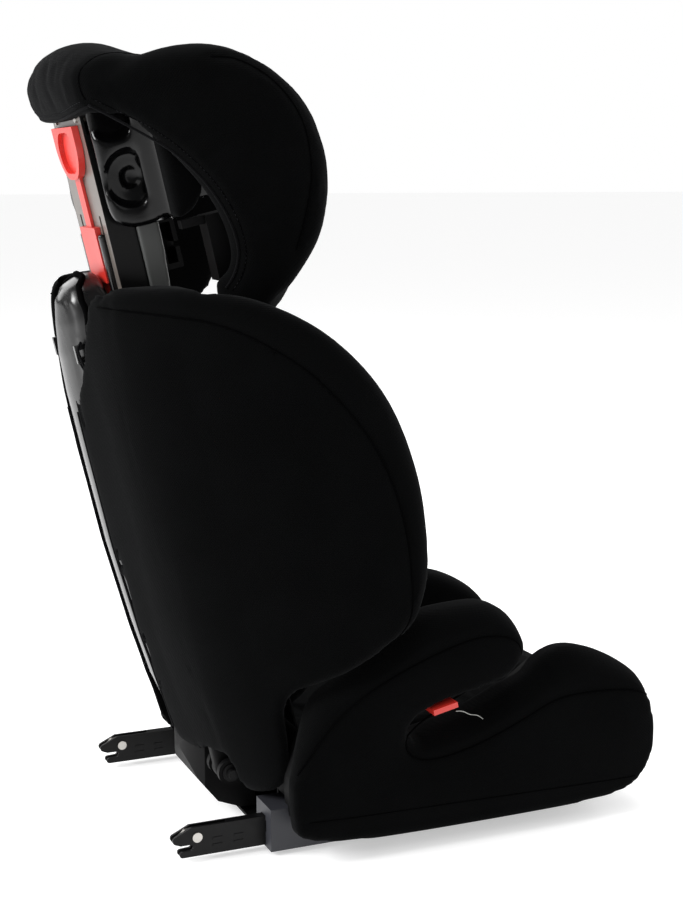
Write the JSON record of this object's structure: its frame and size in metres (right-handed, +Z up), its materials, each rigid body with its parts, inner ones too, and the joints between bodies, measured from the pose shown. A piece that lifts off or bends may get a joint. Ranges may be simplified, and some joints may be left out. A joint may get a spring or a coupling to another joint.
{
  "type": "child booster seat",
  "caption": "High-back child booster seat with padded base, reclining winged backrest, sliding headrest and retractable rear anchor arms.",
  "frame": {"origin": "on the resting plane, under the middle of the base", "axes": "+Z up, -Y towards the front of the seat, X across it; X=0 is the symmetry plane"},
  "size_m": [0.43, 0.5925, 0.7928],
  "materials": {
    "fabric": "black woven polyester",
    "foam": "moulded foam padding",
    "black_plastic": "satin black",
    "grey_plastic": "matt grey",
    "red_plastic": "satin red",
    "black_steel": "black paint",
    "bright_steel": "zinc plated"
  },
  "bodies": {
    "base": {"base_shell": "black_plastic", "base_tray": "black_plastic", "base_screws": "bright_steel", "base_cover": "fabric", "seat_cushion": "fabric", "side_foam_left": "foam", "side_foam_right": "foam", "lap_belt_guide_left": "red_plastic", "lap_belt_guide_right": "red_plastic", "recline_rod": "black_steel", "rod_clips": "black_steel", "anchor_guide_left": "grey_plastic", "anchor_guide_right": "grey_plastic", "lever_pin": "bright_steel", "lever_spring": "bright_steel"},
    "anchor_carriage": {"anchor_arm_left": "black_steel", "anchor_arm_right": "black_steel", "anchor_crossbar": "black_steel", "anchor_rack": "bright_steel", "latch_rivet_left": "bright_steel", "latch_rivet_right": "bright_steel", "latch_spring_left": "bright_steel", "latch_spring_right": "bright_steel"},
    "latch_left": {"latch_pawl_left": "bright_steel"},
    "latch_right": {"latch_pawl_right": "bright_steel"},
    "anchor_lever": {"anchor_release_lever": "red_plastic"},
    "backrest": {"back_shell": "black_plastic", "back_panel": "black_plastic", "back_screws": "bright_steel", "back_cover": "fabric", "back_cushion": "fabric", "wing_foam_left": "foam", "wing_foam_right": "foam", "mast_rail_left": "black_plastic", "mast_rail_right": "black_plastic", "cover_hook_left": "black_plastic", "cover_hook_right": "black_plastic"},
    "headrest": {"headrest_shell": "black_plastic", "headrest_mast": "black_plastic", "headrest_screws": "bright_steel", "headrest_cover": "fabric", "headrest_cushion": "fabric", "headrest_foam_left": "foam", "headrest_foam_right": "foam", "shoulder_belt_guide_left": "black_plastic", "shoulder_belt_guide_right": "black_plastic", "release_spring": "bright_steel"},
    "headrest_release": {"release_handle": "red_plastic", "release_slider": "red_plastic"},
    "lock_pin_left": {"lock_pin_left": "bright_steel"},
    "lock_pin_right": {"lock_pin_right": "bright_steel"}
  },
  "joints": [
    {"name": "backrest_recline", "type": "hinge", "parent": "base", "child": "backrest", "pos_m": [0, 0.235, 0.07], "axis": [-1, 0, 0], "range_deg": [0, 18]},
    {"name": "headrest_height", "type": "slide", "parent": "backrest", "child": "headrest", "axis": [0, 0.225, 0.9744], "range_m": [-0.12, 0]},
    {"name": "release_lift", "type": "slide", "parent": "headrest", "child": "headrest_release", "axis": [0, 0.225, 0.9744], "range_m": [-0.01, 0]},
    {"name": "lock_pin_left_slide", "type": "slide", "parent": "headrest", "child": "lock_pin_left", "axis": [1, 0, 0], "range_m": [0, 0.005]},
    {"name": "lock_pin_right_slide", "type": "slide", "parent": "headrest", "child": "lock_pin_right", "axis": [-1, 0, 0], "range_m": [0, 0.005]},
    {"name": "anchor_slide", "type": "slide", "parent": "base", "child": "anchor_carriage", "axis": [0, 1, 0], "range_m": [-0.08, 0]},
    {"name": "anchor_lever_turn", "type": "hinge", "parent": "base", "child": "anchor_lever", "pos_m": [0, -0.06, 0.0135], "axis": [1, 0, 0], "range_deg": [0, 3.8]},
    {"name": "latch_left_close", "type": "hinge", "parent": "anchor_carriage", "child": "latch_left", "pos_m": [0.14, 0.285, 0.0255], "axis": [-1, 0, 0], "range_deg": [0, 42]},
    {"name": "latch_right_close", "type": "hinge", "parent": "anchor_carriage", "child": "latch_right", "pos_m": [-0.14, 0.285, 0.0255], "axis": [-1, 0, 0], "range_deg": [0, 42]}
  ],
  "couplings": [
    {"joint": "lock_pin_left_slide", "follows": "release_lift", "ratio": -0.5},
    {"joint": "lock_pin_right_slide", "follows": "release_lift", "ratio": -0.5}
  ]
}
